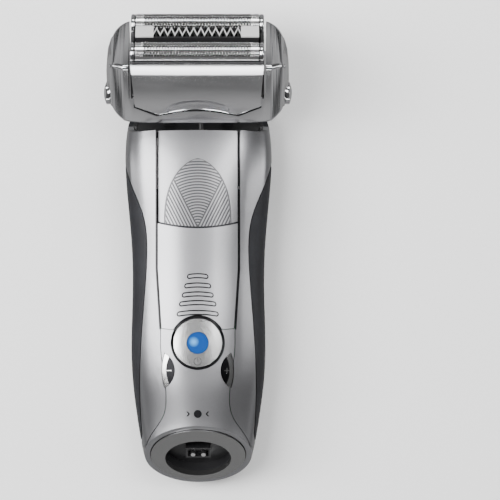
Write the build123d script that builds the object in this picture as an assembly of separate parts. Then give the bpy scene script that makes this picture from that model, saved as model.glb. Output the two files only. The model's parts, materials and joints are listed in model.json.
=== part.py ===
"""Electric foil shaver, lying on its back. Millimetres.

X runs across the shaver, +Y from the foot to the head, +Z up, out of the front face.
The head parts are drawn upright in the head's own frame (x across, y to the rear, z out
through the foils) and then placed on the tilted head plane at the pivot.
"""
from build123d import *
import math
import os

# ---------------------------------------------------------------- overall sizes
overall_length = 163.0
body_width = 51.0               # widest place, just under the head
waist_width = 46.0
body_thickness = 29.4
foot_width = 37.4

# head
head_width = 63.0
head_depth = 26.8
head_lean = 45.0                # angle of the head's axis above the body's axis
pivot_y = 137.9
pivot_z = 21.5
saddle_clearance = 0.8
head_base_radius = 14.4         # the head's lower side is part of this cylinder about the pivot
head_drop = 5.0                 # pivot to the lip's lower edge
arm_top = 21.5                  # pivot to the top of the arms
base_top = 7.0                  # pivot to the floor that the cassette stands on

# cassette
cassette_width = 46.0
cassette_depth = 24.8
cassette_wall = 0.8
cassette_top = 22.5
cassette_side_gap = 0.6
skirt_thickness = 0.7
foil_length = 42.3
foil_radius = 4.0
foil_thickness = 0.25
end_cap_radius = 3.9
end_cap_thickness = 1.65
foil_spacing = 7.4              # middle of the cassette to the middle of each foil
foil_float = 1.5
middle_width = 5.4
middle_float = 1.5
cutter_travel = 1.0
cutter_end_gap = 0.3
cutter_air_gap = 0.08           # between the blades and the foil
cutter_blades = 17

# shells
shell_wall = 2.0
grip_thickness = 1.6
rear_wall = 1.6
foot_wrap = 3.5                  # how far the silver front wraps behind the foot plane
panel_gap = 0.25
parting_height = 14.0
panel_recess = 1.5
panel_thickness = 1.3
panel_foot_y = 63.0             # the thumb panel runs on under the slide as its track
slide_proud = 0.25
slide_thickness = 1.45

# centre channel and slide
channel_half_width = 14.3
channel_foot_half_width = 13.0
channel_foot_y = 54.5
channel_taper_y = 75.0
foot_point = 1.4                # the slide's lower edge dips this much towards the power button
split_y = 90.8
split_sag = 1.8
trimmer_travel = 9.0

# buttons
power_y = 49.4
power_radius = 8.5
power_ring_gap = 0.9
power_travel = 0.8
lens_radius = 3.9
small_button_y = 39.8
small_button_length = 11.8
small_button_inner_x = 8.15
small_button_outer_x = 12.3
small_button_travel = 0.6
flange = 0.45
flange_gap = 0.3
indicator_y = 24.8
indicator_radius = 1.35

# foot, bezel and socket
foot_lift = 18.0                # height of the foot oval along Y
bezel_width = 33.0
bezel_wall = 5.0
bezel_shift = 2.5               # the opening sits this much lower than the ring
bezel_thickness = 1.8
bezel_proud = 0.6
socket_depth = 7.0
socket_wall = 1.0
tower_size = (8.6, 4.8, 3.6)
tower_wall = 0.7
pin_radius = 0.8
pin_length = 3.0
pin_spacing = 3.6

# inside
battery_radius = 7.0
battery_length = 48.0
battery_y = 52.0
battery_z = 11.6
motor_radius = 6.5
motor_length = 26.0
motor_to_pivot = 27.0
shaft_radius = 1.5
pin_offset = 1.0
eccentric_pin_radius = 0.8
running_gap = 0.05
board_thickness = 1.2
board_z = 20.6
pivot_pin_radius = 1.5
cheek_x = 8.0
cheek_thickness = 4.0
release_travel = 1.4
release_radius = 3.9
release_proud = 1.1             # how far the release buttons stand out of the arms
release_dome_radius = 9.0
collar_grow = 0.9               # the collar that keeps a release button in its arm

# small parts
switch_height = 1.2
stem_rest_gap = 0.3
stem_radius = 1.6
small_stem_radius = 0.9
switch_size = 4.5
board_width, board_length = 26.0, 56.0
chip_height = 1.0
nub_radius, nub_length = 2.5, 1.0
strap_width, strap_thickness, strap_height = 8.0, 0.4, 12.0
motor_boss_radius, motor_boss_length = 3.0, 1.2
shaft_back, shaft_front = 11.5, 9.0
weight_radius = 2.8
tray_width, tray_length, tray_height, tray_z = 25.2, 84.0, 10.0, 8.6
cell_gap = 0.3
post_radius, post_x = 1.6, 11.0
comb_y = 133.5
comb_teeth = 23
comb_thickness = 0.5
drive_pin_radius = 1.1
drive_pin_top = 12.4
bridge_low, bridge_high = 4.6, 5.8

os.makedirs("parts", exist_ok=True)
made = {}

# ---------------------------------------------------------------- body envelope
# each station: front point (y, z), back point (y, z), half width, roundness
half = body_width / 2
waist = waist_width / 2
top_z = body_thickness
stations = [
    ((20.6, top_z - 0.7), (0.0, 10.2), foot_width / 2, 2.0),
    ((25.5, top_z - 0.5), (6.5, 5.4), waist - 2.9, 2.15),
    ((31.0, top_z - 0.2), (16.0, 2.3), waist - 1.6, 2.3),
    ((38.0, top_z), (33.0, 0.6), waist - 0.1, 2.45),
    ((46.6, top_z), (47.0, 0.2), waist + 0.4, 2.5),
    ((61.4, top_z - 0.3), (62.0, 0.6), waist + 0.1, 2.5),
    ((75.0, top_z - 0.7), (76.0, 1.1), waist, 2.5),
    ((89.0, top_z - 0.8), (90.0, 0.8), waist + 0.8, 2.5),
    ((103.0, top_z - 1.0), (104.0, 0.1), half - 0.4, 2.5),
    ((116.0, top_z - 1.9), (117.0, 0.3), half, 2.5),
    ((126.0, top_z - 3.6), (127.0, 1.4), half - 1.2, 2.4),
    ((136.0, top_z - 5.9), (137.0, 4.4), half - 4.0, 2.3),
]
section_points = 20


def section_wire(station, inset):
    """One closed slanted section of the body, drawn in from the skin by inset."""
    (front_y, front_z), (back_y, back_z), half_width, power = station
    front, back = Vector(0, front_y, front_z), Vector(0, back_y, back_z)
    middle = (front + back) / 2
    along = (front - back).normalized()
    reach = (front - back).length / 2 - inset
    points = []
    for i in range(section_points):
        angle = 2 * math.pi * i / section_points
        c, s = math.cos(angle), math.sin(angle)
        side = math.copysign(abs(c) ** (2 / power), c) * (half_width - inset)
        rise = math.copysign(abs(s) ** (2 / power), s) * reach
        points.append(middle + along * rise + Vector(side, 0, 0))
    return Wire([Edge.make_spline(points, periodic=True)])


foot_front, foot_back = stations[0][0], stations[0][1]
foot_angle = math.degrees(math.atan2(foot_front[1] - foot_back[1], foot_front[0] - foot_back[0]))
foot_middle = Vector(0, (foot_front[0] + foot_back[0]) / 2, (foot_front[1] + foot_back[1]) / 2)
foot_normal = Vector(0, -math.sin(math.radians(foot_angle)), math.cos(math.radians(foot_angle)))
foot_plane = Plane(origin=foot_middle, x_dir=(1, 0, 0), z_dir=foot_normal)
pivot = Vector(0, pivot_y, pivot_z)
head_axis = Vector(0, math.cos(math.radians(head_lean)), math.sin(math.radians(head_lean)))
head_plane = Plane(origin=pivot, x_dir=(1, 0, 0), z_dir=head_axis)
saddle_radius = head_base_radius + saddle_clearance

made_envelopes = {}
made_layers = {}


def across(radius, half_length, y=0.0, z=0.0):
    """A cylinder along X through (y, z)."""
    return Pos(0, y, z) * Rot(0, 90, 0) * Cylinder(radius, 2 * half_length)


def envelope(inset):
    """The body's solid form, inset from the skin, open to the saddle at the top."""
    if inset not in made_envelopes:
        form = Solid.make_loft([section_wire(s, inset) for s in stations], ruled=False)
        if inset > 0:
            beyond = Box(90, 90, 40, align=(Align.CENTER, Align.CENTER, Align.MIN))
            form = form - foot_plane.offset(-inset) * beyond
        form = form - across(saddle_radius, 60, pivot_y, pivot_z)
        made_envelopes[inset] = form
    return made_envelopes[inset]


def layer(outer_inset, inner_inset):
    """The shell between two insets of the body's form."""
    if (outer_inset, inner_inset) not in made_layers:
        made_layers[outer_inset, inner_inset] = envelope(outer_inset) - envelope(inner_inset)
    return made_layers[outer_inset, inner_inset]


def prism(face, low=parting_height, high=60.0):
    """The space over an outline drawn in XY, between two heights."""
    return Pos(0, 0, low) * extrude(face, high - low)


def mirrored_outline(right_side):
    """A closed outline from its right-hand edges, from top to bottom."""
    right = Wire(right_side)
    left = right.mirror(Plane.YZ)
    top_right, bottom_right = right @ 0, right @ 1
    edges = list(right.edges()) + list(left.edges())
    if abs(top_right.X) > 1e-6:
        edges.append(Edge.make_line((-top_right.X, top_right.Y), (top_right.X, top_right.Y)))
    if abs(bottom_right.X) > 1e-6:
        edges.append(Edge.make_line((-bottom_right.X, bottom_right.Y), (bottom_right.X, bottom_right.Y)))
    return make_face(edges)


def line(a, b):
    return Edge.make_line(a, b)


def curve(*points):
    return Edge.make_spline([Vector(*p) for p in points])


def arc(a, b, c):
    return Edge.make_three_point_arc(Vector(*a), Vector(*b), Vector(*c))


def save(name, shape):
    """Keep a node for the export, as one shape of separate solids."""
    solids = list(shape.solids()) if hasattr(shape, "solids") else list(ShapeList(shape).solids())
    made[name] = solids


def joined(shapes):
    total = shapes[0]
    for shape in shapes[1:]:
        total = total + shape
    return total


# ---------------------------------------------------------------- outlines of the front
def silver_outline(gap):
    """The silver front's side boundary; the soft grip begins outside it."""
    side = waist - 4.6 - gap
    return mirrored_outline([
        line((half + 6, 150), (half + 6, 113.5 + gap)),
        line((half + 6, 113.5 + gap), (half + 0.4 - gap, 113.5 + gap)),
        curve((half + 0.4 - gap, 113.5 + gap), (side + 4.2, 103), (side + 0.2, 92.7),
              (side - 0.9, 80), (side, 65), (side + 1.4, 46), (side + 1.7, 33), (side + 1.0, 17.5)),
        line((side + 1.0, 17.5), (foot_width / 2 + 2 - gap, 8.5)),
        line((foot_width / 2 + 2 - gap, 8.5), (foot_width / 2 + 2 - gap, -8)),
    ])


def channel_outline(gap, top=145.0):
    wide, narrow = channel_half_width - gap, channel_foot_half_width - gap
    return mirrored_outline([
        line((wide, top), (wide, channel_taper_y)),
        line((wide, channel_taper_y), (narrow, channel_foot_y)),
        line((narrow, channel_foot_y), (0, channel_foot_y - foot_point)),
    ])


def face_plate_outline(gap):
    """The lower centre plate: waisted between the buttons, flaring round the foot."""
    foot = foot_width / 2
    top_side = channel_foot_half_width - gap
    return mirrored_outline([
        line((0, channel_foot_y - foot_point - gap), (top_side, channel_foot_y - gap)),
        line((top_side, channel_foot_y - gap), (top_side, 50)),
        curve((top_side, 50), (11.9 - gap, 39), (11.1 - gap, 31),
              (11.9 - gap, 24.5), (15.8 - gap, 18.2), (foot - 0.6 - gap, 13.6)),
        line((foot - 0.6 - gap, 13.6), (foot + 3, 10)),
        line((foot + 3, 10), (foot + 3, -8)),
    ])


def small_button_outline(side, grow):
    """A crescent-backed button, rounded towards the middle of the shaver."""
    reach = small_button_length / 2 + grow
    top, bottom = small_button_y + reach, small_button_y - reach
    inner = small_button_inner_x - grow
    outer = small_button_outer_x + grow
    corner = outer - 1.0
    return make_face([
        arc((side * corner, top), (side * inner, small_button_y), (side * corner, bottom)),
        arc((side * corner, bottom), (side * outer, small_button_y), (side * corner, top)),
    ])


def front_disc(radius, y):
    return Pos(0, y, 0) * make_face([Edge.make_circle(radius)])


def on_foot(shape):
    return foot_plane * shape


bezel_height = foot_lift / math.cos(math.radians(foot_angle))
bezel_x = bezel_width / 2
bezel_y = bezel_height / 2
hole_x = bezel_x - bezel_wall
hole_y = bezel_y - 3.7


def foot_oval(rx, ry, low, high, shift=0.0):
    """An oval block standing on the foot plane, from low to high along its normal."""
    oval = make_face([Edge.make_ellipse(rx, ry)])
    return on_foot(Pos(0, shift, low) * extrude(oval, high - low))


# ---------------------------------------------------------------- shells
def front_space(outline, gap=0.0):
    """Where the front pieces lie: above the parting height, and wrapped behind the foot."""
    beyond = Box(90, 60, 30, align=(Align.CENTER, Align.CENTER, Align.MIN))
    slab = foot_plane.offset(-foot_wrap - gap) * beyond
    slab &= prism(mirrored_outline([line((40, 18), (40, -10))]), low=-10)
    return prism(outline, low=parting_height - gap) + (slab & prism(outline, low=-10))


skin = layer(0, shell_wall)
socket_space = foot_oval(bezel_x + panel_gap, bezel_y + panel_gap, -socket_depth - 3, 5)
power_well = prism(front_disc(power_radius + power_ring_gap, power_y))
indicator_well = prism(front_disc(indicator_radius + running_gap, indicator_y))
small_wells = joined([prism(small_button_outline(side, panel_gap)) for side in (-1, 1)])

front_frame = skin & prism(silver_outline(0))
front_frame -= prism(channel_outline(0))
front_frame -= prism(face_plate_outline(0), low=0)
front_frame -= power_well + small_wells
front_frame -= socket_space
for side_frame in front_frame.solids():               # one rail down each side of the channel
    save("side_frame_left" if side_frame.center().X < 0 else "side_frame_right", side_frame)

face_plate = skin & front_space(face_plate_outline(panel_gap))
face_plate -= socket_space
face_plate -= power_well
face_plate -= small_wells
face_plate -= indicator_well
save("face_plate", face_plate)

# soft grip outside the silver front, hard shell under it, plate let into the back
station_y = 62.0
contact_x, contact_width, contact_length = 5.0, 5.0, 9.0
contact_low, contact_high = 0.9, 1.9
cover_bottom, cover_top = 30.0, 150.0
cover_half_width = 11.0
trimmer_half_width = 14.6
trimmer_low_y = 104.0


def cover_outline(gap):
    """The hard plate let into the grip on the back."""
    side, bottom = cover_half_width - gap, cover_bottom + gap
    return mirrored_outline([
        line((side, cover_top), (side, bottom + 5)),
        arc((side, bottom + 5), (side * 0.72, bottom + 1.4), (0, bottom)),
    ])


trimmer_slot = Pos(0, trimmer_low_y - 1.0, -3) * Box(
    2 * trimmer_half_width + 1.0, 60, 8.6, align=(Align.CENTER, Align.MIN, Align.MIN))

front_keep_out = front_space(silver_outline(-panel_gap), panel_gap)
grip = layer(0, grip_thickness) - front_keep_out
grip -= prism(cover_outline(-panel_gap), low=-5, high=parting_height)
grip -= trimmer_slot
grip -= socket_space
save("rubber_grip", grip.solids().sort_by(SortBy.VOLUME)[-1])

rear_shell = layer(grip_thickness, grip_thickness + rear_wall) - front_keep_out
rear_shell -= trimmer_slot
rear_shell -= socket_space
rear_shell = rear_shell.solids().sort_by(SortBy.VOLUME)[-1]
save("rear_shell", rear_shell)

rear_cover = layer(0, grip_thickness) & prism(cover_outline(0), low=-5, high=parting_height)
rear_cover -= trimmer_slot
for side in (-1, 1):
    rear_cover -= Pos(side * contact_x, station_y, 0) * Box(contact_width + 0.2, contact_length + 0.2, 12)
rear_cover = rear_cover.solids().sort_by(SortBy.VOLUME)[-1]
save("rear_cover", rear_cover)

contact_plate = Pos(0, station_y, (contact_low + contact_high) / 2) * Box(
    contact_width, contact_length, contact_high - contact_low)
contacts = [Pos(side * contact_x, 0, 0) * contact_plate for side in (-1, 1)]
save("station_contacts", joined(contacts))

# ---------------------------------------------------------------- centre panels
panel_inset = panel_recess + panel_thickness
thumb_panel = layer(panel_recess, panel_inset) & prism(channel_outline(panel_gap)) & prism(
    mirrored_outline([line((40, 150), (40, panel_foot_y))]))
stem_half, stem_low, stem_high = 2.5, 70.0, 78.0
link_top = 23.0
stem_slot = Box(2 * stem_half + 0.6, stem_high - stem_low + trimmer_travel + 1.0, 30,
                align=(Align.CENTER, Align.MIN, Align.CENTER))
thumb_panel -= Pos(0, stem_low - 0.5, 28) * stem_slot
save("thumb_panel", thumb_panel)

slide_side = channel_half_width - panel_gap
slide_foot = channel_foot_half_width - panel_gap
slide_outline = mirrored_outline([
    arc((0, split_y - split_sag), (slide_side / 2, split_y - split_sag * 0.75), (slide_side, split_y)),
    line((slide_side, split_y), (slide_side, channel_taper_y)),
    line((slide_side, channel_taper_y), (slide_foot, channel_foot_y)),
    line((slide_foot, channel_foot_y), (0, channel_foot_y - foot_point)),
])
slide_bottom = slide_thickness - slide_proud
slide = layer(-slide_proud, slide_bottom) & prism(slide_outline)
slide -= prism(front_disc(power_radius + power_ring_gap + panel_gap, power_y))
slide += envelope(slide_bottom - 0.1) & Pos(0, (stem_low + stem_high) / 2, link_top) * Box(
    2 * stem_half, stem_high - stem_low, 8, align=(Align.CENTER, Align.CENTER, Align.MIN))
rib_rows = ((72.6, 2.85), (69.4, 3.8), (66.3, 4.65), (63.3, 5.6), (59.9, 6.4))
rib_height = 0.45
rib_bands = []
for rib_y, rib_half in rib_rows:                     # arched grip ribs, wider towards the button
    sag = 0.08 * rib_half
    rib_bands.append(prism(make_face([
        arc((-rib_half, rib_y - sag - 0.5), (0, rib_y - 0.5), (rib_half, rib_y - sag - 0.5)),
        line((rib_half, rib_y - sag - 0.5), (rib_half, rib_y - sag + 0.5)),
        arc((rib_half, rib_y - sag + 0.5), (0, rib_y + 0.5), (-rib_half, rib_y - sag + 0.5)),
        line((-rib_half, rib_y - sag + 0.5), (-rib_half, rib_y - sag - 0.5)),
    ])))
slide += layer(-slide_proud - rib_height, 0.4) & joined(rib_bands)
save("trimmer_slide", slide)

# ---------------------------------------------------------------- buttons
def button(outline, grown_outline, dish_inset):
    cap = layer(-dish_inset, shell_wall + 0.2) & prism(outline)
    rim = layer(shell_wall + flange_gap, shell_wall + flange_gap + 1.0)
    return cap + (rim & prism(grown_outline)) + (
        layer(shell_wall, shell_wall + flange_gap + 0.2) & prism(outline))


power_disc = front_disc(power_radius, power_y)
power = button(power_disc, front_disc(power_radius + power_ring_gap + flange, power_y), 0.3)
lens_space = Pos(0, power_y, 0) * Cylinder(lens_radius, 90)
switch_top = board_z + board_thickness + switch_height
stem_bottom = switch_top + power_travel + stem_rest_gap
small_stem_bottom = switch_top + small_button_travel + stem_rest_gap
power -= lens_space
power_floor = shell_wall + flange_gap + 1.0
power += (layer(power_floor - 1.0, power_floor) & prism(front_disc(lens_radius + 0.5, power_y)))
power += Pos(0, power_y, stem_bottom) * Cylinder(
    stem_radius, 27.0 - stem_bottom, align=(Align.CENTER, Align.CENTER, Align.MIN))
save("power_button", power.solids().sort_by(SortBy.VOLUME)[-1])
lens = layer(-0.15, power_floor - 1.0) & prism(front_disc(lens_radius - running_gap, power_y))
save("power_lens", lens)
indicator = layer(0.1, shell_wall + 1.0) & prism(front_disc(indicator_radius, indicator_y))
save("indicator_lens", indicator)

switch_x = 10.2
for name, side in (("minus_button", -1), ("plus_button", 1)):
    small = button(small_button_outline(side, 0), small_button_outline(side, panel_gap + flange), 0.35)
    small += Pos(side * switch_x, small_button_y, small_stem_bottom) * Cylinder(
        small_stem_radius, 26.2 - small_stem_bottom, align=(Align.CENTER, Align.CENTER, Align.MIN))
    save(name, small.solids().sort_by(SortBy.VOLUME)[-1])

# ---------------------------------------------------------------- foot
bezel = foot_oval(bezel_x, bezel_y, -bezel_thickness, bezel_proud)
bezel -= foot_oval(hole_x, hole_y, -5, 5, -bezel_shift + 1.0)
save("socket_bezel", bezel)
cup_x, cup_y = hole_x + 1.0, hole_y + 1.0
insert = foot_oval(cup_x, cup_y, -socket_depth, -bezel_thickness, -bezel_shift + 1.0)
insert -= foot_oval(cup_x - socket_wall, cup_y - socket_wall, -socket_depth + 1.4, 0, -bezel_shift + 1.0)
insert += on_foot(Pos(0, -bezel_shift + 1.0, -socket_depth + 1.2) * Box(
    *tower_size, align=(Align.CENTER, Align.CENTER, Align.MIN)))
pin_base = -socket_depth + 1.2 + tower_size[2] - 2.0
pin_places = [Pos(side * pin_spacing / 2, -bezel_shift + 1.0, 0) for side in (-1, 1)]
well_x, well_y = tower_size[0] - 2 * tower_wall, tower_size[1] - 2 * tower_wall
tower_well = on_foot(Pos(0, -bezel_shift + 1.0, pin_base) * Box(
    well_x, well_y, 4, align=(Align.CENTER, Align.CENTER, Align.MIN)))
insert -= tower_well
pins = [on_foot(place * Pos(0, 0, pin_base) * Cylinder(
    pin_radius, pin_length, align=(Align.CENTER, Align.CENTER, Align.MIN))) for place in pin_places]
save("socket_insert", insert)
save("socket_pins", joined(pins))

# ---------------------------------------------------------------- inside of the body
board = Pos(0, 50, board_z) * Box(board_width, board_length, board_thickness, align=(Align.CENTER, Align.CENTER, Align.MIN))
save("circuit_board", board)
on_board = board_z + board_thickness
switch = Box(switch_size, switch_size, switch_height, align=(Align.CENTER, Align.CENTER, Align.MIN))
switches = [Pos(x, y, on_board) * switch for x, y in (
    (0, power_y), (-switch_x, small_button_y), (switch_x, small_button_y))]
save("tact_switches", joined(switches))
chips = [Pos(x, y, on_board) * Box(w, d, chip_height, align=(Align.CENTER, Align.CENTER, Align.MIN))
         for x, y, w, d in ((0, 62, 8, 8), (-8, 72, 5, 4), (8, 72, 5, 4), (0, 30, 6, 4))]
save("board_chips", joined(chips))

battery = Pos(0, battery_y, battery_z) * Rot(-90, 0, 0) * Cylinder(battery_radius, battery_length)
battery_end = battery_y + battery_length / 2
nub = Pos(0, battery_end + nub_length / 2, battery_z) * Rot(-90, 0, 0) * Cylinder(nub_radius, nub_length)
save("battery", battery + nub)
strap = Pos(0, 0, battery_z) * Box(strap_width, strap_thickness, strap_height)
straps = [Pos(0, battery_end + nub_length + 0.3, 0) * strap,
          Pos(0, battery_y - battery_length / 2 - 0.3, 0) * strap]
save("battery_straps", joined(straps))

motor_reach = pivot - Vector(0, 98.0, 13.2)
motor_axis = motor_reach.normalized()
motor_plane = Plane(origin=pivot - motor_axis * motor_to_pivot, x_dir=(1, 0, 0), z_dir=motor_axis)


def on_motor(shape):
    """Place a shape whose z runs from the motor's front face towards the pivot."""
    return motor_plane * shape


def rod(radius, low, high, x=0.0, y=0.0):
    return Pos(x, y, low) * Cylinder(radius, high - low, align=(Align.CENTER, Align.CENTER, Align.MIN))


motor = rod(motor_radius, -motor_length, 0) + rod(motor_boss_radius, 0, motor_boss_length)
motor -= rod(shaft_radius + running_gap, -shaft_back - 0.5, 4)
save("motor", on_motor(motor))
rotor = rod(shaft_radius, -shaft_back, shaft_front) + rod(weight_radius, 3.0, shaft_front - 0.5)
rotor += rod(eccentric_pin_radius, shaft_front - 1.0, motor_to_pivot + 1.0, x=pin_offset)
save("motor_shaft", on_motor(rotor))

# the chassis tray carries battery and motor and hangs the neck at its top
tray = Pos(0, 68, tray_z) * Box(tray_width, tray_length, tray_height)
bay_radius, bay_length = battery_radius + cell_gap, battery_length + 5
tray -= Pos(0, battery_y, battery_z) * Rot(-90, 0, 0) * Cylinder(bay_radius, bay_length)
tray -= Pos(0, battery_y, battery_z + 6) * Box(2 * bay_radius, bay_length, 12)
tray -= on_motor(rod(motor_radius + cell_gap, -motor_length - 1, 8))
motor_window = Pos(0, 0, -12) * Box(2 * motor_radius - 1.5, 40, motor_length + 12)
tray -= on_motor(motor_window & Pos(0, -20, 0) * Box(60, 40, 200))
tray = tray & envelope(grip_thickness + rear_wall)
for side in (-1, 1):
    for post_y in (26.5, 82.0):
        tray += Pos(side * post_x, post_y, 10) * Cylinder(
            post_radius, board_z - 10, align=(Align.CENTER, Align.CENTER, Align.MIN))
save("chassis", tray.solids().sort_by(SortBy.VOLUME)[-1])

# neck: a saddle-shaped cap closing the body's top, with two cheeks up to the pivot
cap = envelope(grip_thickness + rear_wall + 0.2) & across(saddle_radius + 2.2, 60, pivot_y, pivot_z)
cap &= prism(mirrored_outline([line((40, 160), (40, 110))]), low=6.0)
cap -= on_motor(rod(3.4, 3, 30))
neck = cap.solids().sort_by(SortBy.VOLUME)[-1]
for side in (-1, 1):
    middle = side * (cheek_x + cheek_thickness / 2)
    cheek = Pos(middle, 0, -8.5) * Box(cheek_thickness, 6.0, 17.0)
    cheek += Pos(middle, 0, 0) * Rot(0, 90, 0) * Cylinder(3.0, cheek_thickness)
    cheek -= Rot(0, 90, 0) * Cylinder(pivot_pin_radius + running_gap, 60)
    neck += head_plane * cheek
save("neck", neck)

# ---------------------------------------------------------------- long-hair trimmer
link_x, link_thickness = 13.4, 1.2
link = [Pos(0, (stem_low + 96) / 2, link_top - 0.5) * Box(2 * stem_half, 96 - stem_low, 1.0),
        Pos(0, 92, link_top - 0.5) * Box(2 * link_x + link_thickness, 8, 1.0)]
carriage_low, carriage_high = 1.9, 3.5
for side in (-1, 1):
    link.append(Pos(side * link_x, 92, (6.6 + link_top) / 2) * Box(link_thickness, 8, link_top - 6.6))
    link.append(Pos(side * link_x, 100, 7.6) * Box(link_thickness, 24, 2.0))
    link.append(Pos(side * link_x, 108, (carriage_high + 8.6) / 2) * Box(
        link_thickness, 8, 8.6 - carriage_high))
save("trimmer_link", joined(link))

carriage = Pos(0, (trimmer_low_y + comb_y - 5) / 2, (carriage_low + carriage_high) / 2) * Box(
    2 * trimmer_half_width, comb_y - 5 - trimmer_low_y, carriage_high - carriage_low)
save("trimmer_carriage", carriage)
tooth_pitch = (2 * trimmer_half_width - 1.2) / comb_teeth
comb = Pos(0, comb_y - 3.5, 2.1) * Box(2 * trimmer_half_width, 3.0, comb_thickness)
blade = Pos(0, comb_y - 3.6, 2.75) * Box(2 * trimmer_half_width - 2.4, 2.6, comb_thickness)
for i in range(comb_teeth):
    x = (i - (comb_teeth - 1) / 2) * tooth_pitch
    comb += Pos(x, comb_y - 1.1, 2.1) * Box(tooth_pitch * 0.5, 2.2, comb_thickness)
    if 0 < i < comb_teeth - 1:
        blade += Pos(x, comb_y - 1.6, 2.75) * Box(tooth_pitch * 0.5, 1.8, comb_thickness)
save("hair_comb", comb)
save("hair_blade", blade)

# ---------------------------------------------------------------- head, in the head's own frame
head_half = head_width / 2
depth_half = head_depth / 2
cassette_half = cassette_width / 2
arm_inner = cassette_half + cassette_side_gap


def plan_outline(gap=0.0):
    """The head from above: nearly flat front, rounded sides, narrower at the rear."""
    right = [
        arc((0, -depth_half - 0.1 + gap), (13, -depth_half + gap),
            (25.4 - gap, -depth_half + 0.3 + gap)),
        curve((25.4 - gap, -depth_half + 0.3 + gap), (head_half - 1.6 - gap, -9.6),
              (head_half - gap, -3.5), (head_half - 1.2 - gap, 3.5), (27.0 - gap, 9.4),
              (20.5 - gap, depth_half - 0.5 - gap)),
        line((20.5 - gap, depth_half - 0.5 - gap), (0, depth_half - 0.3 - gap)),
    ]
    return make_face(right + [edge.mirror(Plane.YZ) for edge in right])


def front_outline(gap=0.0):
    """The head frame from the front, drawn in x and z: rounded below, arm tops above."""
    right = [
        line((0, arm_top - gap), (25.0, arm_top - gap)),
        arc((25.0, arm_top - gap), (28.8 - gap, arm_top - 1.2 - gap), (head_half - 0.6 - gap, 17.0)),
        curve((head_half - 0.6 - gap, 17.0), (head_half - gap, 11.0), (head_half - 0.3 - gap, 4.0),
              (head_half - 2.6 - gap, -1.6), (24.8 - gap, -head_drop + 0.7 + gap),
              (20.0 - gap, -head_drop + gap)),
        line((20.0 - gap, -head_drop + gap), (0, -head_drop + gap)),
    ]
    return make_face(right + [edge.mirror(Plane.YZ) for edge in right])


def upright(face, depth=60.0):
    """A block through the head from an outline drawn in x and z."""
    return Plane.XZ * (Pos(0, 0, -depth / 2) * extrude(face, depth))


def block(x, y, low, high, at_x=0.0, at_y=0.0):
    return Pos(at_x, at_y, low) * Box(x, y, high - low, align=(Align.CENTER, Align.CENTER, Align.MIN))


def skirt_outline(gap=0.0):
    """The front skirt: straight sides, slanted corners and an arched lower edge."""
    side = cassette_half - gap
    foot = -0.7 + gap
    right = [
        line((0, cassette_top - gap), (side, cassette_top - gap)),
        line((side, cassette_top - gap), (side - 1.4, 3.1 + gap)),
        line((side - 1.4, 3.1 + gap), (14.2, foot)),
        arc((14.2, foot), (7.5, foot + 1.7), (0, foot + 2.3)),
    ]
    return make_face(right + [edge.mirror(Plane.YZ) for edge in right])


frame_block = Pos(0, 0, -20) * extrude(plan_outline(), 60)
frame_block &= upright(front_outline())
base_round = Rot(0, 90, 0) * Cylinder(head_base_radius, 80)
frame_block &= base_round + block(80, 40, -1.0, 40)
head_frame = frame_block - block(2 * arm_inner, 60, base_top, 40)
# the front skirt hangs in front of the base, above the lip
skirt_space = upright(skirt_outline(-0.35)) & block(80, 4.0, -10, 40, at_y=-cassette_depth / 2 - 1.9)
head_frame -= skirt_space
head_frame -= block(2 * arm_inner, 4.0, base_top - 4.0, 40, at_y=cassette_depth / 2 + 1.9)
# hollow base for the drive, open below for the neck
hollow_x, hollow_y = 21.0, 9.6
head_frame -= block(2 * hollow_x, 2 * hollow_y, -2.8, base_top + 1)
head_frame -= block(2 * (cheek_x + cheek_thickness) + 1.2, 2 * hollow_y, -12, 0)
# hollows in the arms for the release buttons
release_y, release_z = -3.6, 0.9
collar_outer = head_half - 3.4
collar_thickness = 1.0
hollow_floor = -3.2
hollow_inner = collar_outer - collar_thickness - release_travel - 1.3
hollow_outer = collar_outer + 1.5
arm_hollow = [block(hollow_outer - hollow_inner, 12.0, hollow_floor, 14.0,
                    at_x=side * (hollow_outer + hollow_inner) / 2, at_y=-2.6) for side in (-1, 1)]
head_frame -= joined(arm_hollow)
button_bore = Pos(0, release_y, release_z) * Rot(0, 90, 0) * Cylinder(release_radius + 0.2, 80)
head_frame -= button_bore & (block(6, 20, -10, 20, at_x=31.5) + block(6, 20, -10, 20, at_x=-31.5))
# bosses that take the pivot pins
boss_inner = cheek_x + cheek_thickness + 0.4
for side in (-1, 1):
    boss = Pos(side * (boss_inner + 2.2), 0, 0) * Rot(0, 90, 0) * Cylinder(3.2, 4.4)
    boss += block(4.4, 6.4, -4.0, 0, at_x=side * (boss_inner + 2.2))
    head_frame += boss & base_round
head_frame -= Rot(0, 90, 0) * Cylinder(pivot_pin_radius, 2 * (boss_inner + 4.4))
head_frame = head_frame.solids().sort_by(SortBy.VOLUME)[-1]


def on_head(shape):
    return head_plane * shape


save("head_frame", on_head(head_frame))
pivot_pins = [Pos(side * (cheek_x + 4.5), 0, 0) * Rot(0, 90, 0) * Cylinder(pivot_pin_radius, 8.6)
              for side in (-1, 1)]
save("pivot_pins", on_head(joined(pivot_pins)))

# drive cover: the floor of the head, with slots for the three drive pins
cover_low = base_top - 0.8
drive_cover = block(2 * hollow_x - 0.2, 2 * hollow_y - 0.2, cover_low, base_top)
drive_rows = (-foil_spacing, 0.0, foil_spacing)
for row in drive_rows:
    drive_cover -= block(2 * (drive_pin_radius + cutter_travel + 0.4), 2 * drive_pin_radius + 0.8,
                         0, 20, at_y=row)
save("drive_cover", on_head(drive_cover))

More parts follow.
